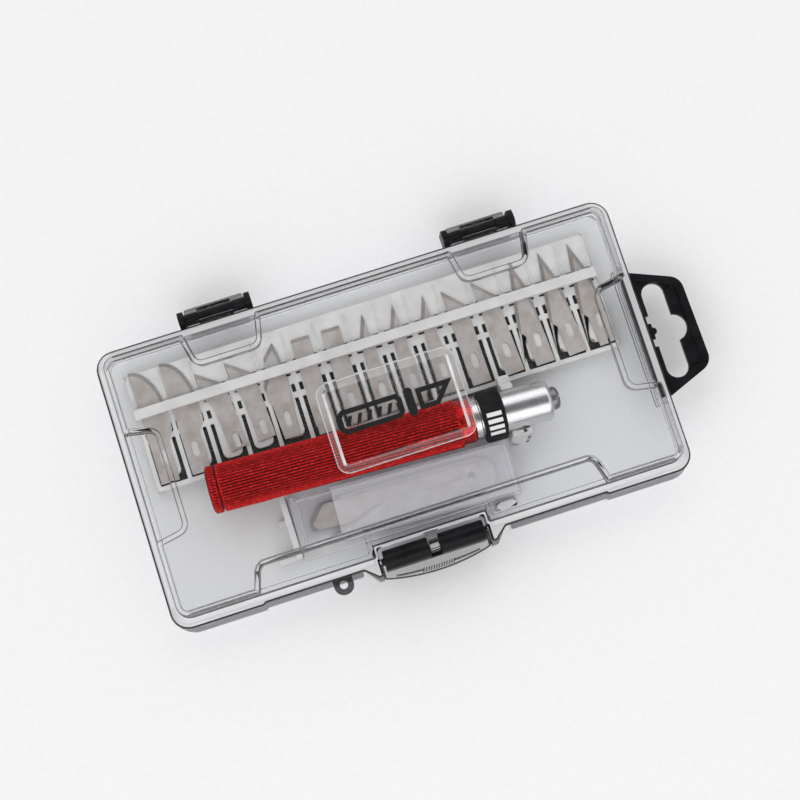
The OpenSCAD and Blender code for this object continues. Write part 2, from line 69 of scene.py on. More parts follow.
class Shader:
    """Nodes of a new material, or of a new world, under construction."""

    def __init__(self, name, store=bpy.data.materials):
        self.owner = store.new(name)
        self.owner.use_nodes = True
        self.tree = self.owner.node_tree
        self.tree.nodes.clear()
        self.coords = self.add("TexCoord").outputs["Object"]

    def add(self, kind, inputs=None, **props):
        node = self.tree.nodes.new("ShaderNode" + kind)
        for key, value in props.items():
            setattr(node, key, value)
        for key, value in (inputs or {}).items():
            socket = node.inputs[key]
            if isinstance(value, bpy.types.NodeSocket):
                self.tree.links.new(value, socket)
            else:
                socket.default_value = value
        return node

    def math(self, operation, a, b=0.0, c=0.0):
        return self.add("Math", {0: a, 1: b, 2: c}, operation=operation).outputs[0]

    def noise(self, size, detail=2.0, stretch=(1, 1, 1), rough=0.5):
        """Noise whose grains are size metres across, drawn out by stretch."""
        scaled = self.add("Mapping", {"Vector": self.coords, "Scale": stretch})
        return self.add("TexNoise", {"Vector": scaled.outputs[0], "Scale": 1 / size,
                                     "Detail": detail, "Roughness": rough}).outputs["Fac"]

    def ramp(self, value, stops):
        node = self.add("ValToRGB", {"Fac": value})
        ramp = node.color_ramp
        while len(ramp.elements) < len(stops):
            ramp.elements.new(0.5)
        for element, (position, colour) in zip(ramp.elements, stops):
            element.position = position
            element.color = colour
        return node.outputs["Color"]

    def grey_ramp(self, value, stops):
        return self.ramp(value, [(p, (g, g, g, 1)) for p, g in stops])

    def mix(self, factor, a, b):
        return self.add("Mix", {0: factor, 6: a, 7: b}, data_type="RGBA").outputs[2]

    def bump(self, height, distance, strength):
        return self.add("Bump", {"Height": height, "Distance": distance,
                                 "Strength": strength}).outputs[0]

    def principled(self, **inputs):
        named = {key.replace("_", " "): value for key, value in inputs.items()}
        return self.add("BsdfPrincipled", named).outputs[0]

    def blend_shaders(self, factor, a, b):
        return self.add("MixShader", {0: factor, 1: a, 2: b}).outputs[0]

    def done(self, surface):
        self.add("OutputMaterial", {"Surface": surface})
        return self.owner


def let_light_through(s, surface, tint):
    """Lamps and diffuse light pass straight through; the camera sees the real surface."""
    path = s.add("LightPath").outputs
    passing = s.math("MAXIMUM", path["Is Shadow Ray"], path["Is Diffuse Ray"])
    clear = s.add("BsdfTransparent", {"Color": tint}).outputs[0]
    return s.blend_shaders(passing, surface, clear)


# ------------------------------------ materials

PASSED_TINT = (0.972, 0.975, 0.98, 1)    # light that has gone through one clear wall


def clear_glass(s, **more):
    """Clear polystyrene without the shade painted on its edges."""
    return s.principled(Base_Color=(0.985, 0.988, 0.99, 1), Roughness=0.0, IOR=1.5,
                        Transmission_Weight=1.0, **more)


def clear_plastic(name, painted_flat_shade):
    """Polystyrene of the case: glossy, with shade painted dark on its rounded edges and grey on
    its upright walls, a frosted floor.

    The second argument is how much grey shade is painted on the level faces, 0 for thin walls and
    more for thick solid parts.
    """
    s = Shader(name)
    facing = s.add("LayerWeight", {"Blend": 0.5}).outputs["Facing"]
    normal = s.add("TexCoord").outputs["Normal"]
    upright = s.math("ABSOLUTE", s.add("SeparateXYZ", {0: normal}).outputs["Z"])
    # painted shade: rounded edges are painted nearly black, upright walls grey, flat faces stay
    # clear
    steep = s.grey_ramp(upright, [(0.02, 0.16), (0.12, 0.3), (0.28, 1.0), (0.92, 1.0),
                                  (0.985, 0.0)])
    edge = s.math("MULTIPLY", steep, s.grey_ramp(facing, [(0.03, 0.0), (0.11, 0.9), (1, 0.97)]))
    # painted grey shade on the level faces
    if painted_flat_shade:
        edge = s.math("MAXIMUM", edge, s.math("MULTIPLY", upright, painted_flat_shade))
    clear = clear_glass(s)
    # near-black surface that carries the painted shade
    dark = s.principled(Base_Color=(0.012, 0.012, 0.014, 1), Roughness=0.12,
                        Specular_IOR_Level=0.35)
    shell = s.blend_shaders(edge, clear, dark)
    grain = s.noise(0.5 * MM, 2.0)
    frost = s.principled(Base_Color=s.grey_ramp(grain, [(0.35, 0.70), (0.65, 0.76)]),
                         Roughness=0.4, Normal=s.bump(grain, 0.05 * MM, 0.4))
    xyz = s.add("SeparateXYZ", {0: s.coords}).outputs
    inside = s.math("LESS_THAN", xyz["Z"], 1.8 * MM)
    for axis, half in (("X", 83.4), ("Y", 43.0)):
        near = s.math("LESS_THAN", s.math("ABSOLUTE", xyz[axis]), half * MM)
        inside = s.math("MULTIPLY", inside, near)
    floor = s.math("MULTIPLY", inside, 0.72)
    # painted highlight: the rim of the lid is painted light all round, up to the foot of its wall
    rim = s.math("MULTIPLY", s.math("GREATER_THAN", upright, 0.8),
                 s.math("COMPARE", xyz["Z"], 14.9 * MM, 0.5 * MM))
    bright = s.principled(Base_Color=(0.86, 0.86, 0.87, 1), Roughness=0.3)
    shell = s.blend_shaders(s.math("MULTIPLY", rim, 0.6), shell, bright)
    return s.done(let_light_through(s, s.blend_shaders(floor, shell, frost), PASSED_TINT))


def clear_pad_top():
    """Finely stippled top of the raised pad, which makes what lies below it look speckled."""
    s = Shader("stippled_polystyrene")
    stipple = s.noise(0.35 * MM, 1.0)
    glass = clear_glass(s, Normal=s.bump(stipple, 0.04 * MM, 0.8))
    return s.done(let_light_through(s, glass, PASSED_TINT))


def clear_pad_slope():
    """Slope round the raised pad with a painted white reflection: a line along its foot and a band
    along its crest, strongest at its ends.
    """
    s = Shader("polystyrene_painted_reflection")
    normal = s.add("SeparateXYZ", {0: s.add("TexCoord").outputs["Normal"]}).outputs
    along, across = (s.math("ABSOLUTE", normal[axis]) for axis in "XY")
    endwise = s.math("DIVIDE", along, s.math("ADD", s.math("ADD", along, across), 0.001))
    height = s.math("MULTIPLY_ADD", s.add("SeparateXYZ", {0: s.coords}).outputs["Z"],
                    1 / (0.8 * MM), -22 / 0.8)
    foot = s.grey_ramp(height, [(0.02, 0.0), (0.1, 0.5), (0.3, 0.4), (0.4, 0.07)])
    crest = s.math("MULTIPLY", s.grey_ramp(height, [(0.6, 0.0), (0.75, 1.0)]),
                   s.grey_ramp(endwise, [(0.4, 0.12), (0.75, 0.65)]))
    streaks = s.noise(1.2 * MM, 2.0, stretch=(1, 0.25, 1))
    painted_reflection_share = s.math("MULTIPLY", s.math("MAXIMUM", foot, crest),
                   s.math("MULTIPLY_ADD", streaks, 1.0, 0.5))
    glass = clear_glass(s)
    # painted reflection: a light white surface mixed into the glass
    white = s.principled(Base_Color=(0.9, 0.9, 0.91, 1), Roughness=0.3)
    return s.done(let_light_through(s, s.blend_shaders(painted_reflection_share, glass, white), PASSED_TINT))


def frosted_plastic():
    """Milky polypropylene of the blade box."""
    s = Shader("frosted_polypropylene")
    grain = s.noise(0.6 * MM, 3.0)
    facing = s.add("LayerWeight", {"Blend": 0.5}).outputs["Facing"]
    tint = s.ramp(facing, [(0.0, (0.95, 0.955, 0.97, 1)), (1.0, (0.8, 0.81, 0.83, 1))])
    body = s.principled(Base_Color=tint, Roughness=0.12, IOR=1.2, Transmission_Weight=1.0,
                        Normal=s.bump(grain, 0.04 * MM, 0.5))
    milk = s.principled(Base_Color=(0.8, 0.79, 0.8, 1), Roughness=0.35,
                        Normal=s.bump(grain, 0.03 * MM, 0.4))
    return s.done(let_light_through(s, s.blend_shaders(0.26, body, milk), (0.9, 0.9, 0.92, 1)))


def moulded(name, light, dark, roughness, grain_size, depth, shine=0.5):
    """Moulded plastic with a fine eroded texture and slight uneven gloss."""
    s = Shader(name)
    grain = s.noise(grain_size, 3.0)
    patches = s.noise(6 * MM, 2.0)
    colour = s.mix(s.grey_ramp(patches, [(0.35, 0.0), (0.65, 1.0)]), dark, light)
    gloss = s.math("MULTIPLY_ADD", patches, 0.12, roughness - 0.06)
    return s.done(s.principled(Base_Color=colour, Roughness=gloss, Specular_IOR_Level=shine,
                               Normal=s.bump(grain, depth, 0.6)))


def magnet_sheet():
    """Black magnetic sheet with the pale flecks and cross-hatched calendering of the real one."""
    s = Shader("magnet_sheet")
    weave = s.add("TexWave", {"Vector": s.coords, "Scale": 420.0, "Distortion": 1.5},
                  wave_type="BANDS", bands_direction="DIAGONAL").outputs["Fac"]
    flecks = s.noise(0.45 * MM, 2.0)
    colour = s.ramp(s.math("MULTIPLY", flecks, s.math("MULTIPLY_ADD", weave, 0.35, 0.75)),
                    [(0.3, srgb(0.06, 0.06, 0.065)), (0.52, srgb(0.16, 0.16, 0.17)),
                     (0.72, srgb(0.36, 0.36, 0.36))])
    return s.done(s.principled(Base_Color=colour, Roughness=0.6,
                               Normal=s.bump(weave, 0.05 * MM, 0.5)))


def red_anodised(name, roughness, ridge=None):
    """Red anodised aluminium with a sparkling, slightly worn grain drawn along the handle.

    Where ridge is given, shade is painted into the flutes: below that radius from the local X axis
    they are darker.
    """
    s = Shader(name)
    sparkle = s.noise(0.35 * MM, 2.0, stretch=(0.35, 1, 1))
    wear = s.noise(2.5 * MM, 4.0, stretch=(0.5, 1, 1))
    colour = s.ramp(sparkle, [(0.3, srgb(0.50, 0.01, 0.015)), (0.52, srgb(0.77, 0.04, 0.045)),
                              (0.75, srgb(0.95, 0.28, 0.25))])
    colour = s.mix(s.grey_ramp(wear, [(0.55, 0.0), (0.75, 0.25)]), colour,
                   srgb(0.74, 0.16, 0.15))
    if ridge:
        xyz = s.add("SeparateXYZ", {0: s.coords}).outputs
        square = s.math("ADD", s.math("POWER", xyz["Y"], 2.0), s.math("POWER", xyz["Z"], 2.0))
        height = s.math("DIVIDE", s.math("POWER", square, 0.5), ridge)
        # painted shade in the hollows of the flutes
        colour = s.mix(s.grey_ramp(height, [(0.955, 1.0), (0.99, 0.0)]), colour,
                       srgb(0.42, 0.015, 0.02))
    gloss = s.math("MULTIPLY_ADD", sparkle, 0.25, roughness - 0.12)
    return s.done(s.principled(Base_Color=colour, Metallic=0.9, Roughness=gloss,
                               Normal=s.bump(sparkle, 0.05 * MM, 0.5)))


def turned_metal(name, colour, roughness, depth):
    """Metal turned on a lathe: rings round the local X axis."""
    s = Shader(name)
    rings = s.noise(0.22 * MM, 2.0, stretch=(1, 0.02, 0.02))
    stain = s.noise(3 * MM, 3.0)
    base = s.mix(s.grey_ramp(stain, [(0.4, 0.0), (0.75, 0.3)]), colour,
                 tuple(0.8 * c for c in colour[:3]) + (1,))
    gloss = s.math("MULTIPLY_ADD", rings, 0.12, roughness - 0.06)
    return s.done(s.principled(Base_Color=base, Metallic=1.0, Roughness=gloss,
                               Normal=s.bump(rings, depth, 0.35)))


def rubber():
    s = Shader("black_rubber")
    grain = s.noise(0.25 * MM, 3.0)
    colour = s.ramp(s.noise(3 * MM, 2.0), [(0.3, srgb(0.06, 0.06, 0.07)),
                                           (0.7, srgb(0.10, 0.10, 0.11))])
    return s.done(s.principled(Base_Color=colour, Roughness=0.5, Specular_IOR_Level=0.1,
                               Normal=s.bump(grain, 0.04 * MM, 0.6)))


def blade_steel(name, light, dark, roughness, stretch):
    """Rolled blade steel: grain along the blade, brownish oil stains and paler rubbed spots."""
    s = Shader(name)
    grain = s.noise(0.3 * MM, 3.0, stretch=stretch)
    stain = s.noise(5 * MM, 4.0, rough=0.6)
    colour = s.mix(s.grey_ramp(stain, [(0.38, 0.0), (0.66, 1.0)]), light, dark)
    colour = s.mix(s.grey_ramp(grain, [(0.3, 0.0), (0.8, 0.35)]), colour,
                   srgb(0.82, 0.80, 0.78))
    gloss = s.math("MULTIPLY_ADD", stain, 0.2, roughness - 0.1)
    return s.done(s.principled(Base_Color=colour, Metallic=0.35, Roughness=gloss,
                               Normal=s.bump(grain, 0.02 * MM, 0.5)))


def ink(name, colour, gaps):
    """Printed ink with pinholes where gaps is above zero."""
    s = Shader(name)
    grain = s.noise(0.3 * MM, 3.0)
    tone = s.mix(s.grey_ramp(grain, [(0.55, 0.0), (0.8, gaps)]), colour, (0.3, 0.3, 0.3, 1))
    return s.done(s.principled(Base_Color=tone, Roughness=0.35,
                               Normal=s.bump(grain, 0.01 * MM, 0.4)))


# painted grey shade on level faces: none on thin walls, a little on the lip, more on thick parts
CLEAR = clear_plastic("clear_polystyrene", 0)
CLEAR_LIP = clear_plastic("clear_polystyrene_lip", 0.1)
CLEAR_THICK_PAINTED_SHADE = clear_plastic("thick_clear_polystyrene_painted_shade", 0.4)
PAD_TOP = clear_pad_top()
# pad slope with a painted white reflection
PAD_SLOPE = clear_pad_slope()
FROSTED = frosted_plastic()
WHITE = moulded("white_polystyrene", srgb(0.87, 0.865, 0.86), srgb(0.82, 0.815, 0.81), 0.42,
                0.5 * MM, 0.02 * MM)
BLACK = moulded("black_polypropylene", srgb(0.10, 0.10, 0.11), srgb(0.06, 0.06, 0.07), 0.36,
                0.3 * MM, 0.03 * MM, 0.12)
MAGNET = magnet_sheet()
# fluted handle with painted shade in its hollows
RED = red_anodised("red_anodised_flutes", 0.42, 7.7 * MM)
RED_SMOOTH = red_anodised("red_anodised_smooth", 0.3)
BRIGHT = turned_metal("bright_turned_metal", (0.70, 0.70, 0.71, 1), 0.24, 0.01 * MM)
COLLET = turned_metal("dark_turned_steel", (0.24, 0.24, 0.25, 1), 0.32, 0.02 * MM)
RUBBER = rubber()
STEEL = blade_steel("blade_steel", srgb(0.78, 0.765, 0.755), srgb(0.68, 0.64, 0.61), 0.38,
                    (1, 0.12, 1))
GROUND = blade_steel("ground_edge_steel", srgb(0.58, 0.56, 0.55), srgb(0.50, 0.47, 0.45), 0.34,
                     (0.25, 1, 1))
BLACK_INK = ink("black_ink", srgb(0.07, 0.07, 0.08), 0.25)
WHITE_INK = ink("white_ink", srgb(0.93, 0.93, 0.92), 0.15)


# ------------------------------------ mesh helpers

WELD_DIST = 0.002 * MM           # points of a CAD mesh closer than this are one point


def add_points(bm, points):
    """New points given in mm."""
    return [bm.verts.new((x * MM, y * MM, z * MM)) for x, y, z in points]


def join_rows(bm, a, b):
    """Quads between two rows with the same stations."""
    for k in range(len(a)):
        j = (k + 1) % len(a)
        bm.faces.new((a[k], a[j], b[j], b[k]))


def skin(bm, rows):
    """Solid through closed rows of points, with a face over each end."""
    for a, b in zip(rows, rows[1:]):
        join_rows(bm, a, b)
    bm.faces.new(rows[0])
    bm.faces.new(rows[-1][::-1])


def new_object(name, data):
    """Object in the scene that shows data."""
    obj = bpy.data.objects.new(name, data)
    bpy.context.scene.collection.objects.link(obj)
    return obj


def new_piece(name, bm, materials, body, placed=None, replaces=(), smooth=True):
    """Object from a bmesh, riding on a body."""
    bmesh.ops.recalc_face_normals(bm, faces=bm.faces)
    mesh = bpy.data.meshes.new(name)
    bm.to_mesh(mesh)
    bm.free()
    for material in materials:
        mesh.materials.append(material)
    for polygon in mesh.polygons:
        polygon.use_smooth = smooth
    piece = new_object(name, mesh)
    if placed is not None:
        piece.matrix_world = placed
    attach(piece, body)
    if replaces:
        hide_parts(*replaces)
    return piece


def round_edges(piece, width, segments=3, clamp=False):
    """Rounds the sharp edges of a finished shape by width mm."""
    bevel = piece.modifiers.new("round_edges", "BEVEL")
    bevel.width = width * MM
    bevel.segments = segments
    bevel.limit_method = "ANGLE"
    bevel.angle_limit = radians(38)
    bevel.use_clamp_overlap = clamp
    bevel.miter_outer = "MITER_ARC"
    weighted = piece.modifiers.new("even_normals", "WEIGHTED_NORMAL")
    weighted.keep_sharp = False
    weighted.weight = 60


def finish_node(name, material, width, segments=3):
    """Material and edges rounded by width mm for a CAD node that stays."""
    node = NODES[name]
    for slot in node.material_slots:
        slot.material = material
    weld = node.modifiers.new("weld", "WELD")
    weld.merge_threshold = WELD_DIST
    round_edges(node, width, segments)


def lathe(profile, segments, radius_at=None):
    """Closed ring mesh: profile holds (distance along X, radius) and closes on itself."""
    bm = bmesh.new()
    turns = [2 * pi * k / segments for k in range(segments)]
    rings = []
    for x, r in profile:
        radii = [radius_at(x, r, turn) if radius_at else r for turn in turns]
        rings.append(add_points(bm, [(x, radius * cos(turn), radius * sin(turn))
                                     for radius, turn in zip(radii, turns)]))
    for a, b in zip(rings, rings[1:] + rings[:1]):
        join_rows(bm, a, b)
    return bm


def mark_sharp(piece, angle):
    """Smooth shading that breaks at edges sharper than angle degrees, flat faces kept flat."""
    piece.data.set_sharp_from_angle(angle=radians(angle))
    weighted = piece.modifiers.new("even_normals", "WEIGHTED_NORMAL")
    weighted.keep_sharp = True
    weighted.weight = 95


def raised(bm, loop, z0, z1):
    """Lower and upper point at each corner of a loop."""
    return [(bm.verts.new((x, y, z0)), bm.verts.new((x, y, z1))) for x, y in loop]


def wall_round(bm, ring):
    for (a0, a1), (b0, b1) in zip(ring, ring[1:] + ring[:1]):
        bm.faces.new((a0, b0, b1, a1))


def prism(bm, loops, z0, z1):
    """Adds a solid with the plan of loops, the first the outline and the rest holes."""
    rings = [raised(bm, loop, z0, z1) for loop in loops]
    flat = [pair for ring in rings for pair in ring]
    plan = [[Vector((x, y, 0)) for x, y in loop] for loop in loops]
    for a, b, c in tessellate_polygon(plan):
        bm.faces.new((flat[a][0], flat[b][0], flat[c][0]))
        bm.faces.new((flat[a][1], flat[b][1], flat[c][1]))
    for ring in rings:
        wall_round(bm, ring)


def knife_frame():
    """Matrix of the knife axis: local +X from the end cap to the collet, +Z up."""
    joint = JOINTS["chuck_spin"]
    along = Vector(joint["axis"]).normalized()
    across = Vector((0, 0, 1)).cross(along).normalized()
    up = along.cross(across)
    place = Matrix((along, across, up)).transposed().to_4x4()
    place.translation = Vector(joint["pos_m"])
    return place


KNIFE = knife_frame()


# ------------------------------------ knife

HANDLE_R = 7.7
FLUTES = 48
FLUTE_DEPTH = 0.42
BODY = (3.4, 82.0)
NECK_END = 86.3
BAND = (89.1, 96.4)
BAND_R = 8.5
NOSE_R = 6.6
NOSE_END = 112.2
MOUTH_R = 3.38
SPIGOT_R = 4.5


def fluted(start, end):
    """Radius law of a handle fluted between two distances along it."""
    fade = 0.5

    def radius_at(x, r, turn):
        if x <= start or x >= end or r < HANDLE_R - 0.05:
            return r
        depth = FLUTE_DEPTH * min(1.0, (x - start) / fade, (end - x) / fade)
        return r - depth * (0.5 - 0.5 * cos(FLUTES * turn)) ** 1.4
    return radius_at


def build_handle():
    start, end = BODY
    outer = [(start, HANDLE_R - 0.35), (start + 0.12, HANDLE_R - 0.1), (start + 0.35, HANDLE_R)]
    outer += [(start + 0.5 + 0.25 * k, HANDLE_R) for k in range(4)]
    outer += [(start + 1.6 + (end - start - 3.2) * k / 6, HANDLE_R) for k in range(7)]
    outer += [(end - 1.2 + 0.25 * k, HANDLE_R) for k in range(3)]
    outer += [(end - 0.4, HANDLE_R), (end - 0.12, HANDLE_R - 0.14), (end, HANDLE_R - 0.42)]
    neck = [(end, 7.1), (NECK_END - 0.5, 7.1), (NECK_END - 0.15, 6.95), (NECK_END, 6.65),
            (NECK_END, SPIGOT_R), (94, SPIGOT_R), (94, 2.58), (64, 2.58), (62, 4.5), (start, 4.5)]
    bm = lathe(outer + neck, FLUTES * 8, fluted(start + 0.4, end - 0.4))
    piece = new_piece("handle_fluted", bm, [RED, RED_SMOOTH], "case", KNIFE,
                      ["handle_body"])
    for polygon in piece.data.polygons:
        polygon.material_index = 1 if polygon.center.x > end * MM - 1e-6 else 0
    mark_sharp(piece, 50)


def build_end_cap():
    profile = [(0.0, 0.4), (0.0, 3.4), (0.25, 3.6), (0.25, 5.6), (0.0, 5.8), (0.0, HANDLE_R - 1.0),
               (0.15, HANDLE_R - 0.6), (0.5, HANDLE_R - 0.15), (0.8, HANDLE_R)]
    profile += [(1.2 + 0.3 * k, HANDLE_R) for k in range(5)]
    profile += [(2.75, HANDLE_R), (2.95, HANDLE_R - 0.15), (3.0, HANDLE_R - 0.4), (3.0, 6.6),
                (3.35, 6.6), (3.35, 4.42), (11.0, 4.42), (12.0, 3.4), (12.0, 0.4)]
    bm = lathe(profile, FLUTES * 8, fluted(0.8, 2.75))
    piece = new_piece("end_cap_fluted", bm, [RED], "end_cap", KNIFE, ["end_cap"])
    mark_sharp(piece, 50)


def build_nose():
    groove = 6.0
    n = NECK_END + 0.05
    profile = [(n, SPIGOT_R + 0.08), (n, 6.45), (n + 0.12, 6.7), (n + 0.35, 6.85),
               (BAND[0] - 0.85, 6.85), (BAND[0] - 0.62, 6.75), (BAND[0] - 0.5, 6.5),
               (BAND[0] - 0.4, 6.3), (BAND[0], 6.3), (BAND[0], groove), (BAND[1], groove),
               (BAND[1], NOSE_R - 0.25), (BAND[1] + 0.1, NOSE_R - 0.08), (BAND[1] + 0.3, NOSE_R)]
    fillet = 1.6
    for k in range(11):
        a = radians(9 * k)
        profile.append((NOSE_END - fillet + fillet * sin(a),
                        NOSE_R - fillet + fillet * cos(a)))
    profile += [(NOSE_END, MOUTH_R + 0.7), (NOSE_END - 0.1, MOUTH_R + 0.58), (105, MOUTH_R),
                (95, MOUTH_R), (95, SPIGOT_R + 0.08)]
    bm = lathe(profile, 128)
    piece = new_piece("chuck_nose_turned", bm, [BRIGHT], "chuck", KNIFE,
                      ["chuck_nose"])
    mark_sharp(piece, 40)


def build_collet():
    """Two rounded jaws with a slot between them, on a plain shank inside the nose."""
    slot = 0.6
    profile = [(99, 3.3), (105, 3.3), (112.2, 3.8), (113.3, 3.8), (113.9, 3.68), (114.4, 3.4),
               (114.75, 2.95), (115, 2.3)]
    bm = bmesh.new()
    for side in (-1, 1):
        turns = [radians(side * (90 - 7.5 * k)) for k in range(25)]
        skin(bm, [add_points(bm, [(x, side * (slot / 2 + (r - slot / 2) * cos(a)),
                                   r * sin(a)) for a in turns]) for x, r in profile])
    shank = [(80, 2.5), (97.4, 2.5), (97.8, 3.3), (99, 3.3)]
    turns = [radians(15 * k) for k in range(24)]
    skin(bm, [add_points(bm, [(x, r * cos(a), r * sin(a)) for a in turns])
              for x, r in shank])
    piece = new_piece("collet_jaws", bm, [COLLET], "collet", KNIFE, ["collet"])
    mark_sharp(piece, 35)


def build_band():
    a, b = BAND[0] + 0.05, BAND[1] - 0.05
    profile = [(a, 6.02), (a, BAND_R - 0.75), (a + 0.08, BAND_R - 0.45), (a + 0.3, BAND_R - 0.18),
               (a + 0.65, BAND_R - 0.05), (a + 1.1, BAND_R), (b - 1.1, BAND_R),
               (b - 0.65, BAND_R - 0.05), (b - 0.3, BAND_R - 0.18), (b - 0.08, BAND_R - 0.45),
               (b, BAND_R - 0.75), (b, 6.02)]
    bm = lathe(profile, 96)
    piece = new_piece("anti_roll_band_rubber", bm, [RUBBER], "chuck", KNIFE,
                      ["anti_roll_band"])
    mark_sharp(piece, 60)


def build_band_marks():
    """White dashes printed round the band, a plain stand-in for its lettering."""
    bm = bmesh.new()
    outer, inner = BAND_R + 0.004, BAND_R - 0.3
    middle = (BAND[0] + BAND[1]) / 2
    start, end = middle - 2.4, middle + 2.4
    half_turn = 4.6
    for angle in (96, 111, 126, 141, 276, 291, 306, 321):
        columns = []
        for k in range(5):
            a = radians(180 - angle + half_turn * (k - 2) / 2)
            columns.append(add_points(bm, [(x, -r * cos(a), r * sin(a)) for x, r in (
                (start, inner), (end, inner), (end, outer), (start, outer))]))
        skin(bm, columns)
    new_piece("anti_roll_band_marks", bm, [WHITE_INK], "chuck", KNIFE,
              smooth=False)


# ------------------------------------ blades

EDGE_WIDTH = 1.15 * MM


def top_loops(node):
    """Boundary loops of a flat node's upper face, the outline first, and its z range."""
    bm = bmesh.new()
    bm.from_mesh(node.data)
    bmesh.ops.remove_doubles(bm, verts=bm.verts, dist=WELD_DIST)
    z_top = max(v.co.z for v in bm.verts)
    z_low = min(v.co.z for v in bm.verts)
    top = {f for f in bm.faces if all(abs(v.co.z - z_top) < 0.01 * MM for v in f.verts)}
    following = {}
    for face in top:
        for loop in face.loops:
            if all(f not in top for f in loop.edge.link_faces if f is not face):
                following[loop.vert.index] = loop.link_loop_next.vert.index
    bm.verts.ensure_lookup_table()
    loops = []
    while following:
        start = next(iter(following))
        loop, here = [], start
        while here in following:
            loop.append(bm.verts[here].co.xy.copy())
            here = following.pop(here)
        loops.append(loop)
    bm.free()

    def area(loop):
        return sum(a.cross(b) for a, b in zip(loop, loop[1:] + loop[:1])) / 2
    loops = [straightened(loop) for loop in loops]
    loops.sort(key=lambda loop: -abs(area(loop)))
    if area(loops[0]) < 0:
        loops = [loop[::-1] for loop in loops]
    return loops, z_low, z_top


def straightened(loop):
    """Loop without the points that lie on a straight line between their neighbours."""
    kept = []
    for k, point in enumerate(loop):
        before, after = loop[k - 1], loop[(k + 1) % len(loop)]
        a, b = (point - before).normalized(), (after - point).normalized()
        if abs(a.cross(b)) > 0.002:
            kept.append(point)
    return kept


def offset_corner(point, d_in, d_out, offset_in, offset_out):
    """Corner of two edge lines moved inward by their own offsets (the loop runs anticlockwise)."""
    n_in, n_out = Vector((-d_in.y, d_in.x)), Vector((-d_out.y, d_out.x))
    cross = d_in.cross(d_out)
    if abs(cross) < 0.05:
        return point + (n_in * offset_in + n_out * offset_out) / 2
    a = point + n_in * offset_in
    b = point + n_out * offset_out
    t = (b - a).cross(d_out) / cross
    return a + d_in * t


def ground_blade(node_name, tip, edge_share, lean):
    """Blade with its cutting edges ground to a wedge, from the outline of a CAD node.

    tip points along the blade. An edge beyond edge_share of the length whose outward
    side leans towards the tip by more than lean is a cutting edge.
    """
    loops, z0, z1 = top_loops(NODES[node_name])
    outline = loops[0]
    count = len(outline)
    reach = [p.dot(tip) for p in outline]
    limit = min(reach) + (max(reach) - min(reach)) * edge_share
    along, offsets = [], []
    for k in range(count):
        a, b = outline[k], outline[(k + 1) % count]
        d = (b - a).normalized()
        along.append(d)
        outward = Vector((d.y, -d.x))
        cutting = (a + b).dot(tip) / 2 > limit and outward.dot(tip) > lean
        offsets.append(EDGE_WIDTH if cutting else 0.0)
    bm = bmesh.new()
    mid = (z0 + z1) / 2
    top, middle, bottom = [], [], []
    for k in range(count):
        p = outline[k]
        inner = offset_corner(p, along[k - 1], along[k], offsets[k - 1], offsets[k])
        cut = offsets[k - 1] > 0 or offsets[k] > 0
        inner = inner if cut else p
        top.append(bm.verts.new((inner.x, inner.y, z1)))
        bottom.append(bm.verts.new((inner.x, inner.y, z0)))
        middle.append(bm.verts.new((p.x, p.y, mid)) if cut else None)
    ground = []
    for k in range(count):
        j = (k + 1) % count
        if offsets[k]:
            ground.append(bm.faces.new((middle[k], middle[j], top[j], top[k])))
            ground.append(bm.faces.new((bottom[k], bottom[j], middle[j], middle[k])))
        else:
            side = [bottom[k], bottom[j], middle[j], top[j], top[k], middle[k]]
            bm.faces.new([v for v in side if v is not None])
    holes = [raised(bm, loop, z0, z1) for loop in loops[1:]]
    for ring in holes:
        wall_round(bm, ring)
    upper = [top] + [[pair[1] for pair in ring] for ring in holes]
    plan = [[Vector((v.co.x, v.co.y, 0)) for v in ring] for ring in upper]
    upper = [v for ring in upper for v in ring]
    lower = bottom + [pair[0] for ring in holes for pair in ring]
    for a, b, c in tessellate_polygon(plan):
        if len({upper[a], upper[b], upper[c]}) == 3:
            bm.faces.new((upper[a], upper[b], upper[c]))
            bm.faces.new((lower[a], lower[b], lower[c]))
    for face in ground:
        face.material_index = 1
    new_piece(node_name + "_ground", bm, [STEEL, GROUND], "case",
              replaces=[node_name], smooth=False)


def build_blades():
    up = Vector((0, 1))
    left = Vector((-1, 0.04)).normalized()
    for name in sorted(NODES):
        if name.startswith(("blade_0", "blade_1")):
            curved = "curved" in name
            ground_blade(name, up, 0.42 if curved else 0.5, 0.03 if curved else 0.12)
        elif name.startswith("spare_blade"):
            ground_blade(name, left, 0.55, 0.2)


# ------------------------------------ clear case

FLANGE_Z = (12.0, 14.5)          # underside and top of the lid rim
SHELF_Z = 17.0                   # top of the recess floors
LID_Z = 22.0
PAD_Z = 22.8
TOP_HALF = (83.0, 42.6)          # half length and half width of the lid walls
SKIN = 1.5                       # wall thickness
WALL_X, WALL_Y = 84.2, -44.9     # where details root in the right and front walls of the base
LATCH_X = -0.7                   # middle of the latch
NOTCH_HALF = 17.9                # half width of the notch round the latch
MOUTH_FILLET = 1.2
INNER_FILLET = 2.5


def rounded_outline(corners, inset, steps=6):
    """Plan outline with rounded corners, moved inward by inset, always with the same points.

    corners run anticlockwise as (x, y, radius).
    """
    points = []
    count = len(corners)
    for k, (x, y, radius) in enumerate(corners):
        p = Vector((x, y))
        before = Vector(corners[k - 1][:2])
        after = Vector(corners[(k + 1) % count][:2])
        a, b = (p - before).normalized(), (after - p).normalized()
        na, nb = Vector((-a.y, a.x)), Vector((-b.y, b.x))
        cross = a.cross(b)
        turn = atan2(cross, a.dot(b))
        half = turn / 2
        p = p + (na + nb).normalized() * inset / cos(half)
        r = max(radius - inset, 0.04) if turn > 0 else radius + inset
        tangent = r * tan(abs(half))
        side = 1 if turn > 0 else -1
        centre = p - a * tangent + na * r * side
        start = p - a * tangent - centre
        for s in range(steps + 1):
            points.append(centre + Matrix.Rotation(turn * s / steps, 2) @ start)
    return points


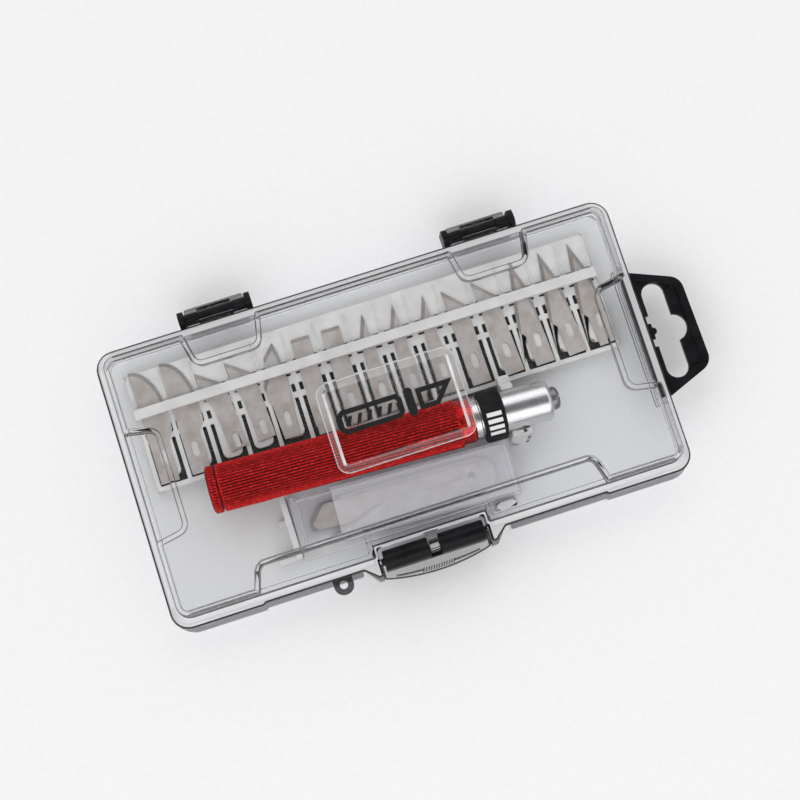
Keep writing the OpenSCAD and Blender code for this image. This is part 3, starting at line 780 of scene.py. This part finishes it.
def top_plan(inset):
    """Stations of the lid's upper plan, which dips in round each recess.

    Returns (upper points, wall points): a wall point is where the upper point's place
    on the plain outer wall is, so the two differ only in the recesses.
    """
    hx, hy = TOP_HALF
    corners = [(-hx, -hy, 4), (-57, -hy, MOUTH_FILLET), (-54.5, -34.3, INNER_FILLET),
               (54.5, -34.3, INNER_FILLET), (57, -hy, MOUTH_FILLET), (hx, -hy, 4),
               (hx, -17.6, MOUTH_FILLET), (73.5, -15.8, INNER_FILLET), (73.5, 15.8, INNER_FILLET),
               (hx, 17.6, MOUTH_FILLET), (hx, hy, 4)]
    for middle in (44.4, -44.4):
        corners += [(middle + 11.8, hy, MOUTH_FILLET), (middle + 9.8, 33, INNER_FILLET),
                    (middle - 9.8, 33, INNER_FILLET), (middle - 11.8, hy, MOUTH_FILLET)]
    corners += [(-hx, hy, 4), (-hx, 17.6, MOUTH_FILLET), (-73.5, 15.8, INNER_FILLET),
                (-73.5, -15.8, INNER_FILLET), (-hx, -17.6, MOUTH_FILLET)]
    steps = 6
    upper = rounded_outline(corners, inset, steps)
    row = steps + 1
    walls = []
    # the plain wall beside each corner of the recesses
    beside = {k: ("y", -hy + inset) for k in range(1, 5)}
    beside.update({k: ("x", hx - inset) for k in range(6, 10)})
    beside.update({k: ("y", hy - inset) for k in range(11, 19)})
    beside.update({k: ("x", -hx + inset) for k in range(20, 24)})
    for k, point in enumerate(upper):
        wall = point.copy()
        if k // row in beside:
            setattr(wall, *beside[k // row])
        walls.append(wall)
    # stations where the wall goes round the latch notch
    half = NOTCH_HALF + 0.9
    profile = [(-0.6, -hy), (-0.2, -hy + 0.18), (0.0, -hy + 0.6), (0.02, -39.5), (0.2, -39.1),
               (0.6, -38.9)]
    notch = [(LATCH_X - half - inset + dx, y + inset) for dx, y in profile]
    notch += [(LATCH_X + half + inset - dx, y + inset) for dx, y in profile[::-1]]
    place = 3 * row
    upper[place:place] = [Vector((x, -34.3 + inset)) for x, y in notch]
    walls[place:place] = [Vector((x, y)) for x, y in notch]
    return upper, walls


def flat_ring(bm, *rows):
    """Flat face bounded by the first row, with the other rows as holes in it."""
    verts = [v for row in rows for v in row]
    for a, b, c in tessellate_polygon([[v.co for v in row] for row in rows]):
        bm.faces.new((verts[a], verts[b], verts[c]))


def lofted(bm, sections):
    """Rows through sections of (points, z), each joined to the one before."""
    rows = [add_points(bm, [(p.x, p.y, z) for p in points]) for points, z in sections]
    for a, b in zip(rows, rows[1:]):
        join_rows(bm, a, b)
    return rows


def clean(bm):
    """Merges the doubled stations and drops what collapses there."""
    bmesh.ops.remove_doubles(bm, verts=bm.verts, dist=0.004 * MM)
    bmesh.ops.dissolve_degenerate(bm, edges=bm.edges, dist=WELD_DIST)


def toward(a, b, shares):
    return [p.lerp(q, s) for p, q, s in zip(a, b, shares)]


def lid_wall_rows(bm, inset, base_sections, shelf, ceiling, fillet):
    """Rows of one skin of the lid from the rim up to the ceiling, shelf and fillets included."""
    upper, walls = top_plan(inset)
    outer = top_plan(inset - 0.4)[0]
    shares = [min(1.0, (p - q).length / 1.0) for p, q in zip(upper, walls)]
    shelf_edge = [w.lerp(u, min(1.0, 0.5 / max((u - w).length, 1e-6)) if s > 0 else 0)
                  for u, w, s in zip(upper, walls, shares)]
    edge_mid = toward(walls, shelf_edge, [0.3] * len(walls))
    foot = toward(upper, outer, shares)
    foot_mid = toward(upper, outer, [0.3 * s for s in shares])
    sections = base_sections + [
        (walls, shelf - 0.5), (edge_mid, shelf - 0.15), (shelf_edge, shelf), (foot, shelf),
        (foot_mid, shelf + 0.12), (upper, shelf + 0.4), (upper, ceiling - fillet),
        (top_plan(inset + 0.3 * fillet)[0], ceiling - 0.3 * fillet),
        (top_plan(inset + fillet)[0], ceiling)]
    return lofted(bm, sections)


def build_lid_shell():
    """Moulded lid: rim, walls, recesses and raised pad, with its inner skin."""
    bm = bmesh.new()
    ear = [(-5.6, -45.6, 0.8), (-1.6, -49, 0.6), (0, -49, 0.5)]
    left, right = LATCH_X - NOTCH_HALF, LATCH_X + NOTCH_HALF
    rim = [(-86, -46.2, 6), (-57, -46.2, 0.5), (-56.3, -45.6, 0.5)]
    rim += [(left + x, y, r) for x, y, r in ear]
    rim += [(left, -39.8, 2.2), (right, -39.8, 2.2)]
    rim += [(right - x, y, r) for x, y, r in ear[::-1]]
    rim += [(56.3, -45.6, 0.5), (57, -46.2, 0.5), (86, -46.2, 6), (86, 45.6, 6), (-86, 45.6, 6)]
    low, high = FLANGE_Z
    outside = lofted(bm, [(rounded_outline(rim, 0.25), low), (rounded_outline(rim, 0), low + 0.25),
                          (rounded_outline(rim, 0), high - 1.05),
                          (rounded_outline(rim, 0.14), high - 0.55),
                          (rounded_outline(rim, 0.52), high - 0.15),
                          (rounded_outline(rim, 0.98), high)])
    walls = [top_plan(inset)[1] for inset in (-0.85, -0.45, -0.12, 0)]
    above = lid_wall_rows(bm, 0, [(walls[0], high), (walls[1], high + 0.15),
                                  (walls[2], high + 0.45), (walls[3], high + 0.8)],
                          SHELF_Z, LID_Z, 0.9)
    flat_ring(bm, outside[-1], above[0])
    # raised pad with a broad bevel
    pad = [(-22, -15.5, 3.5), (23, -15.5, 3.5), (23, 13.5, 3.5), (-22, 13.5, 3.5)]
    pad_rows = lofted(bm, [(rounded_outline(pad, inset), z) for inset, z in (
        (-0.3, LID_Z), (-0.1, LID_Z + 0.1), (0.1, LID_Z + 0.3), (1.4, LID_Z + 0.46),
        (2.2, PAD_Z - 0.08), (2.6, PAD_Z))])
    flat_ring(bm, above[-1], pad_rows[0])
    flat_ring(bm, pad_rows[-1])
    # inner skin
    seat = [(-84.95, -44.55, 5), (left - 1.6, -44.55, 0.5), (left - 1.6, -38.2, 0.5),
            (right + 1.6, -38.2, 0.5), (right + 1.6, -44.55, 0.5), (84.95, -44.55, 5),
            (84.95, 44.55, 5), (-84.95, 44.55, 5)]
    seat_rows = lofted(bm, [(rounded_outline(seat, 0), low), (rounded_outline(seat, 0), 13.1)])
    flat_ring(bm, outside[0], seat_rows[0])
    inner = lid_wall_rows(bm, SKIN, [(top_plan(SKIN)[1], 13.1)], SHELF_Z - SKIN, LID_Z - SKIN, 0.5)
    flat_ring(bm, seat_rows[-1], inner[0])
    flat_ring(bm, inner[-1])
    clean(bm)
    for face in bm.faces:
        if face.calc_center_median().z > (LID_Z + 0.02) * MM:
            face.material_index = 1 if face.calc_center_median().z > (PAD_Z - 0.01) * MM else 2
    piece = new_piece("lid_shell", bm, [CLEAR, PAD_TOP, PAD_SLOPE], "lid",
                      replaces=["case_lid"])
    mark_sharp(piece, 42)


def build_base_tray():
    """Moulded base: floor, walls with their locating lip, lower at the latch."""
    bm = bmesh.new()
    notch = (LATCH_X - NOTCH_HALF, LATCH_X + NOTCH_HALF)
    corners = [(-85.5, -45.1, 5.5), (85.5, -45.1, 5.5), (85.5, 45.1, 5.5), (-85.5, 45.1, 5.5)]
    steps = 10

    def plan(inset):
        points = rounded_outline(corners, inset, steps)
        cut = [notch[0] - 0.6, notch[0] - 0.15, notch[0], notch[1], notch[1] + 0.15,
               notch[1] + 0.6]
        points[steps + 1:steps + 1] = [Vector((x, -45.1 + inset)) for x in cut]
        return points

    def level(z, low):
        """Row heights: z all round, but never above low between the notch sides."""
        heights = [z] * (4 * (steps + 1) + 6)
        heights[steps + 1 + 2] = heights[steps + 1 + 3] = min(z, low)
        return heights

    def row(inset, z, low=9.8):
        return add_points(bm, [(p.x, p.y, h) for p, h in zip(plan(inset), level(z, low))])

    outer = [row(0.6, 0), row(0.18, 0.16), row(0, 0.6), row(0, 11.7, 9.5), row(0.12, 11.95, 9.75),
             row(0.3, 12, 9.8), row(0.68, 12, 9.8), row(0.7, 12.05, 9.8), row(0.72, 12.85, 9.8),
             row(0.85, 13, 9.8), row(1.3, 13, 9.8), row(1.5, 12.8, 9.6), row(1.5, 2.3),
             row(1.62, 1.85), row(2.2, 1.6)]
    for a, b in zip(outer, outer[1:]):
        join_rows(bm, a, b)
    flat_ring(bm, outer[0])
    flat_ring(bm, outer[-1])
    clean(bm)
    piece = new_piece("base_tray", bm, [CLEAR], "case", replaces=["case_base"])
    mark_sharp(piece, 42)


def clear_solid(name, body, loops, z0, z1, width=0.3, material=None):
    """Clear moulded detail: the plan of loops between two heights, edges rounded."""
    bm = bmesh.new()
    prism(bm, [[(x * MM, y * MM) for x, y in loop] for loop in loops], z0 * MM, z1 * MM)
    bmesh.ops.remove_doubles(bm, verts=bm.verts, dist=0.12 * MM)
    piece = new_piece(name, bm, [material or CLEAR], body)
    round_edges(piece, width, clamp=True)


def plan_of(corners, steps=6):
    return [(p.x, p.y) for p in rounded_outline(corners, 0, steps)]


def circle_plan(x, y, r, count=40):
    return [(x + r * cos(2 * pi * k / count), y + r * sin(2 * pi * k / count))
            for k in range(count)]


def extruded_along_x(name, body, x0, x1, loops, width=0.25):
    """Clear solid with a side profile of loops in Y and Z, edges rounded."""
    bm = bmesh.new()
    prism(bm, [[(y * MM, z * MM) for y, z in loop] for loop in loops], x0 * MM, x1 * MM)
    bm.transform(Matrix(((0, 0, 1, 0), (1, 0, 0, 0), (0, 1, 0, 0), (0, 0, 0, 1))))
    piece = new_piece(name, bm, [CLEAR], body)
    round_edges(piece, width, clamp=True)


def half_round_rib(bm, path, radius, z):
    """Half-round rib lying at height z along a path in plan."""
    rows = []
    section = [(radius * cos(pi * k / 6), radius * sin(pi * k / 6))
               for k in range(7)]
    for k, (x, y) in enumerate(path):
        before, after = Vector(path[max(k - 1, 0)]), Vector(path[min(k + 1, len(path) - 1)])
        along = (after - before).normalized()
        rows.append(add_points(bm, [(x - along.y * side, y + along.x * side, z + rise)
                                    for side, rise in section]))
    skin(bm, rows)


def build_latch_lip(left, right):
    """Bowed lip of the base below the latch, with a rounded edge and ribs on top."""
    radius, front_y, top = 69.0, -52.1, 5.0

    def bow(x, inward=0.0):
        return front_y + inward + radius - sqrt(radius ** 2 - (x - LATCH_X) ** 2)

    stations = [left + (right - left) * k / 20 for k in range(21)]
    outline = [(x, bow(x), 60) for x in stations]
    outline[0] = (left, bow(left), 1.0)
    outline[-1] = (right, bow(right), 1.0)
    outline += [(right, -44.9, 0.1), (left, -44.9, 0.1)]
    bm = bmesh.new()
    rows = lofted(bm, [(rounded_outline(outline, inset, 3), z) for inset, z in (
        (0.5, 2.6), (0.15, 2.75), (0, 3.1), (0, top - 0.8), (0.25, top - 0.25), (0.8, top))])
    flat_ring(bm, rows[0])
    flat_ring(bm, rows[-1])
    clean(bm)
    mark_sharp(new_piece("base_latch_lip", bm, [CLEAR_LIP], "case"), 42)
    bm = bmesh.new()
    for sign in (-1, 1):
        path = [(LATCH_X + sign * x, bow(LATCH_X + x, 1.9 - 0.06 * x))
                for x in (5.2, 6.5, 8, 9.5, 11, 12.5, 14)]
        half_round_rib(bm, path[::sign], 0.3, top - 0.05)
    mark_sharp(new_piece("base_lip_rim", bm, [CLEAR_THICK_PAINTED_SHADE], "case"), 50)
    # finger ribs between the two strokes of the rim
    bm = bmesh.new()
    for k in range(13):
        x = LATCH_X - 5.1 + 0.85 * k
        half_round_rib(bm, [(x + 0.35, bow(x, 2.1)), (x - 0.35, bow(x, 0.75))], 0.2, top - 0.05)
    mark_sharp(new_piece("lip_finger_ribs", bm, [CLEAR_THICK_PAINTED_SHADE], "case"), 50)


def rectangle(x0, x1, y0, y1):
    return [(x0, y0), (x1, y0), (x1, y1), (x0, y1)]


def sided_plan(corners, sign, edge=0.0):
    """Plan of corners measured outward from edge, mirrored in X where sign is -1."""
    return plan_of([(edge + sign * x, y, r) for x, y, r in corners][::sign])


def build_hinge_details():
    """Open hooks of the lid, which leave the hinge bars showing, and bosses of the base."""
    pin_y, pin_z = (JOINTS["lid_hinge"]["pos_m"][k] / MM for k in (1, 2))
    low, inner, outer = pin_z - 1.42, pin_y - 1.42, pin_y + 1.42
    hook = plan_of([(45.3, 12.0, 0.1), (46.2, 9.7, 0.8), (50.2, 9.7, 1.0), (50.9, 10.6, 0.6),
                    (50.9, 13.4, 0.3), (outer, 13.4, 0.3), (outer, low, 0.4), (inner, low, 0.4),
                    (inner, 14.3, 0.4), (45.3, 14.3, 0.1)])
    for side, x in (("left", -44.4), ("right", 44.4)):
        extruded_along_x("lid_hook_" + side, "lid", x - 5.6, x + 5.6, [hook])
        boss = [(x - 9.9, -WALL_Y, 0.1), (x + 9.9, -WALL_Y, 0.1), (x + 9.9, 52.4, 0.8),
                (x - 9.9, 52.4, 0.8)]
        clear_solid("base_hinge_boss_" + side, "case", [plan_of(boss)], 3.6, 8.4,
                    material=CLEAR_THICK_PAINTED_SHADE)


def build_seal_loops():
    x, y = -31.5, -47.6
    ring = [(x - 3.2, WALL_Y, 0.1), (x - 3.2, y - 3.2, 3.1), (x + 3.2, y - 3.2, 3.1),
            (x + 3.2, WALL_Y, 0.1)]
    for name, body, z0, z1 in (("base_seal_loop", "case", 10.0, 11.95),
                               ("lid_seal_loop", "lid", 12.05, 13.8)):
        clear_solid(name, body, [plan_of(ring), circle_plan(x, y, 1.3)], z0, z1, 0.7, CLEAR_THICK_PAINTED_SHADE)


def build_latch_pocket():
    """Pocket of the base behind the latch, with its lip, guards, front steps and catch bead."""
    left, right = LATCH_X - NOTCH_HALF, LATCH_X + NOTCH_HALF
    pocket = [(left - 1.6, -44.4, 0.2), (left, -44.4, 0.2), (left, -39.8, 2.2),
              (right, -39.8, 2.2), (right, -44.4, 0.2), (right + 1.6, -44.4, 0.2),
              (right + 1.6, -38.4, 3.4), (left - 1.6, -38.4, 3.4)]
    clear_solid("base_latch_pocket", "case", [plan_of(pocket)], 1.65, 12.0)
    clear_solid("base_latch_shelf", "case", [rectangle(left + 0.05, right - 0.05, -43.5, -39.9)],
                8.3, 9.8)
    build_latch_lip(left + 0.02, right - 0.02)
    guard = [(0, -50.2, 0.4), (1.6, -50.2, 0.6), (5.6, -45.2, 0.6), (5.6, WALL_Y, 0.1),
             (0, WALL_Y, 0.1)]
    step = [(24.5, WALL_Y, 0.1), (24.5, -47.0, 0.6), (56.2, -47.0, 0.4), (57.0, -47.6, 0.4),
            (85.45, -47.6, 7), (85.45, -38, 0.1), (WALL_X, -38, 0.1), (WALL_X, WALL_Y, 0.1)]
    for side, sign, edge in (("left", -1, left), ("right", 1, right)):
        clear_solid("base_latch_guard_" + side, "case", [sided_plan(guard, sign, edge)], 2.6, 11.8,
                    0.45, CLEAR_THICK_PAINTED_SHADE)
        clear_solid("base_front_step_" + side, "case", [sided_plan(step, sign)], 0.3, 9.3, 0.5,
                    CLEAR_THICK_PAINTED_SHADE)
    clear_solid("base_catch_bead", "case", [rectangle(LATCH_X - 8, LATCH_X + 8, -45.5, WALL_Y)],
                7.0, 7.8, 0.15)


def build_latch_lug():
    """Lug of the lid round the latch axle."""
    y, z = (JOINTS["latch_swing"]["pos_m"][k] / MM for k in (1, 2))
    lug = plan_of([(y - 2, z - 1.9, 1.6), (y + 1.2, z - 1.9, 1.2), (y + 2.0, z - 0.2, 0.5),
                   (-39.0, z - 0.2, 0.1), (-39.0, z + 2, 0.1), (y - 2, z + 2, 1.6)])
    extruded_along_x("lid_latch_lug", "lid", LATCH_X - 1.5, LATCH_X + 1.5,
                     [lug, circle_plan(y, z, 1.08)], 0.3)


def build_tab_socket():
    """Plates of the base that hold the root of the hang tab."""
    for name, z0, z1 in (("upper", 11.25, 11.95), ("lower", 6.6, 8.1)):
        clear_solid("base_tab_socket_" + name, "case", [rectangle(81.3, WALL_X, -24, 22)], z0, z1,
                    0.15)


def build_rib_strips():
    """Two rows of fine upright ribs between the latch barrels and the pocket wall."""
    pitch, depth = 0.86, 0.3
    y_back, y_front, z0, z1 = -39.9, -40.5, 15.2, 16.7
    lo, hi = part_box("latch")
    middle = (lo.x + hi.x) / 2 / MM
    for side, start, end in (("left", -16.2, -2.4), ("right", 2.4, 16.2)):
        bm = bmesh.new()
        steps = round((end - start) / pitch) * 6
        columns = []
        for k in range(steps + 1):
            x = (end - start) * k / steps
            y = y_front + depth * (0.5 + 0.5 * cos(2 * pi * x / pitch))
            columns.append(add_points(bm, [(middle + start + x, *yz) for yz in (
                (y_back, z0), (y, z0), (y, z1), (y_back, z1))]))
        skin(bm, columns)
        piece = new_piece("latch_rib_strip_" + side, bm, [CLEAR], "lid")
        mark_sharp(piece, 50)


def build_print():
    """Plain knife sign printed on the raised pad: handle, collar and blade."""
    bm = bmesh.new()
    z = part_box("case_lid")[1].z
    z0, z1 = z - 0.01 * MM, z + 0.02 * MM

    def shape(*loops):
        prism(bm, [[(x * MM, y * MM) for x, y in loop] for loop in loops], z0, z1)

    def bar(x0, x1, y0, y1, cut=0.6):
        return [(x0 + cut, y0), (x1 - cut, y0), (x1, y0 + cut), (x1, y1 - cut), (x1 - cut, y1),
                (x0 + cut, y1), (x0, y1 - cut), (x0, y0 + cut)]

    shape(bar(-18, 3.2, -3.9, 3.9, 1.6), bar(-16.4, 1.6, -2.3, 2.3, 0.7)[::-1])
    for x in (-14.2, -10.9, -7.6, -4.3, -1.0):
        shape([(x - 1.5, -1.5), (x - 0.2, -1.5), (x + 1.1, 1.5), (x - 0.2, 1.5)])
    shape(bar(4.2, 7.0, -4.6, 4.6, 0.8))
    shape([(8.0, -3.5), (14.2, -3.5), (20.2, 3.5), (8.0, 3.5)],
          [(9.6, -1.9), (9.6, 1.9), (16.7, 1.9), (13.5, -1.9)])
    new_piece("lid_print", bm, [BLACK_INK], "lid", smooth=False)


# ------------------------------------ CAD nodes that stay

def finish_cad_nodes():
    for name in ("hinge_clip_left", "hinge_clip_right"):
        finish_node(name, BLACK, 0.35)
    finish_node("latch", BLACK, 0.3)
    finish_node("hang_tab", BLACK, 0.16, 2)
    finish_node("blade_rack", WHITE, 0.16, 2)
    finish_node("magnet_strip", MAGNET, 0.1, 1)
    finish_node("cradle", WHITE, 0.3)
    finish_node("box_tray", FROSTED, 0.2, 2)
    finish_node("box_cover", FROSTED, 0.35)


finish_cad_nodes()
build_lid_shell()
build_base_tray()
build_hinge_details()
build_seal_loops()
build_latch_pocket()
build_latch_lug()
build_tab_socket()
build_handle()
build_end_cap()
build_nose()
build_collet()
build_band()
build_band_marks()
build_blades()
build_rib_strips()
build_print()


# ------------------------------------ studio

def build_floor():
    bm = bmesh.new()
    bmesh.ops.create_grid(bm, x_segments=4, y_segments=4, size=3.0)
    mesh = bpy.data.meshes.new("floor")
    bm.to_mesh(mesh)
    bm.free()
    floor = new_object("floor", mesh)
    floor.location.z = -0.1 * MM     # just below the case, so the two faces never share a plane
    s = Shader("pale_paper")
    tone = s.grey_ramp(s.noise(2 * MM, 3.0), [(0.4, 0.86), (0.6, 0.875)])
    mesh.materials.append(s.done(s.principled(Base_Color=tone, Roughness=0.75)))


def area_light(name, direction, distance, size, power):
    """Soft box that shines from a direction at the origin."""
    data = bpy.data.lights.new(name, "AREA")
    data.shape = "RECTANGLE"
    data.size, data.size_y = size
    data.energy = power
    light = new_object(name, data)
    light.location = Vector(direction).normalized() * distance
    light.rotation_euler = Vector(direction).to_track_quat("Z", "Y").to_euler()


def build_world():
    """White room, bright at eye level and dark overhead."""
    s = Shader("studio", bpy.data.worlds)
    up = s.add("SeparateXYZ", {0: s.add("TexCoord").outputs["Generated"]}).outputs["Z"]
    colour = s.ramp(up, [(place, (grey, grey, grey * 1.01, 1)) for place, grey in (
        (0.0, 0.2), (0.1, 0.22), (0.35, 0.85), (0.65, 0.95), (0.85, 0.6), (0.95, 0.06))])
    light = s.add("Background", {"Color": colour, "Strength": 1.28}).outputs[0]
    s.add("OutputWorld", {"Surface": light})
    bpy.context.scene.world = s.owner


def build_camera():
    azimuth, elevation, roll = (radians(a) for a in (-24.46, 81.91, -6.65))
    target, distance = Vector((3.27, 2.93, 12)) * MM, 575.25 * MM
    back = Vector((sin(azimuth) * cos(elevation),
                   -cos(azimuth) * cos(elevation), sin(elevation)))
    right = Vector((cos(azimuth), sin(azimuth), 0))
    up = back.cross(right)
    side = right * cos(roll) - up * sin(roll)
    top = right * sin(roll) + up * cos(roll)
    data = bpy.data.cameras.new("camera")
    data.sensor_width = data.sensor_height = 36
    data.angle = radians(25)
    data.clip_start = 0.01
    camera = new_object("camera", data)
    place = Matrix((side, top, back)).transposed().to_4x4()
    place.translation = target + back * distance
    camera.matrix_world = place
    bpy.context.scene.camera = camera


build_floor()
build_world()
area_light("key", (-0.25, -0.75, 0.75), 1.3, (1.6, 1.2), 5)
area_light("fill", (0.35, 0.8, 0.8), 1.5, (1.6, 1.2), 3.5)
build_camera()
bpy.context.scene.view_settings.view_transform = "Standard"
